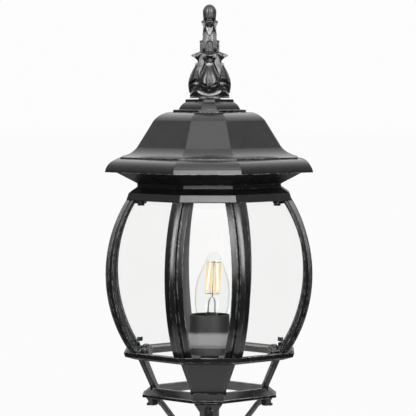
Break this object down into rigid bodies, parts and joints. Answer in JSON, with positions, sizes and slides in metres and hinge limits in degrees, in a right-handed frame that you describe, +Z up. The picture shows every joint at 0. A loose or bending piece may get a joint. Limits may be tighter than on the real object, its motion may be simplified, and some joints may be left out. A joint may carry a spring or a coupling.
{
  "type": "pillar lamp",
  "caption": "Octagonal black pillar lantern with an ogee roof, carved finial, bulging glass cage, scroll legs on a round foot and a candle bulb.",
  "frame": {"origin": "on the lamp's axis in the plane that the foot rests on", "axes": "+Z up along the lamp's axis, +X to the right and -Y towards the viewer, each through the middle of a narrow face"},
  "size_m": [0.2058, 0.2058, 0.5],
  "materials": {
    "black_casting": "satin black powder coat on cast aluminium, fine orange peel",
    "black_cup": "satin black paint on drawn sheet metal",
    "rubber": "matt black rubber",
    "zinc": "zinc plated steel",
    "blackened_steel": "blackened steel, slightly oily",
    "raw_aluminium": "mill finish aluminium",
    "terminal_nylon": "ivory nylon",
    "brass": "bright brass",
    "live_insulation": "brown wire insulation",
    "neutral_insulation": "blue wire insulation",
    "earth_insulation": "green wire insulation",
    "pane_glass": "clear curved window glass, green at the edge",
    "bulb_glass": "thin clear bulb glass",
    "porcelain": "glazed white porcelain",
    "cap_metal": "nickel plated lamp cap",
    "cap_insulator": "black vitrite with a tin contact",
    "phosphor": "yellow phosphor sticks"
  },
  "bodies": {
    "lamp": {"base_gasket": "rubber", "base_plate": "black_casting", "entry_plate": "raw_aluminium", "entry_plate_screws": "zinc", "cable_grommet": "rubber", "terminal_block": "terminal_nylon", "earth_screw": "brass", "live_wire": "live_insulation", "neutral_wire": "neutral_insulation", "earth_wire": "earth_insulation", "scroll_leg_1": "black_casting", "scroll_leg_2": "black_casting", "scroll_leg_3": "black_casting", "scroll_leg_4": "black_casting", "leg_screws_top": "blackened_steel", "leg_screws_base": "blackened_steel", "gallery": "black_casting", "rib_1": "black_casting", "rib_2": "black_casting", "rib_3": "black_casting", "rib_4": "black_casting", "rib_5": "black_casting", "rib_6": "black_casting", "rib_7": "black_casting", "rib_8": "black_casting", "rib_screws_top": "blackened_steel", "rib_screws_bottom": "blackened_steel", "wide_glass_1": "pane_glass", "wide_glass_2": "pane_glass", "wide_glass_3": "pane_glass", "wide_glass_4": "pane_glass", "narrow_glass_1": "pane_glass", "narrow_glass_2": "pane_glass", "narrow_glass_3": "pane_glass", "narrow_glass_4": "pane_glass", "glass_clips": "blackened_steel", "crown": "black_casting", "stud_bridge": "raw_aluminium", "bridge_screws": "zinc", "roof_stud": "zinc", "stud_nuts": "zinc", "roof": "black_casting", "finial_washer": "rubber", "lamp_pipe": "blackened_steel", "pipe_nuts": "blackened_steel", "holder_cup": "black_cup", "lampholder": "porcelain", "screw_shell": "brass", "centre_contact": "brass"},
    "finial": {"finial": "black_casting"},
    "bulb": {"bulb_envelope": "bulb_glass", "bulb_cap": "cap_metal", "bulb_contact": "cap_insulator", "bulb_stem": "bulb_glass", "filaments": "phosphor", "filament_wires": "zinc"}
  },
  "joints": [
    {"name": "finial_turn", "type": "hinge", "parent": "lamp", "child": "finial", "pos_m": [0, 0, 0.41], "axis": [0, 0, 1], "range_deg": [0, 1080]},
    {"name": "bulb_turn", "type": "hinge", "parent": "lamp", "child": "bulb", "pos_m": [0, 0, 0.1567], "axis": [0.0506, 0, 0.9987], "range_deg": [0, 900]}
  ]
}
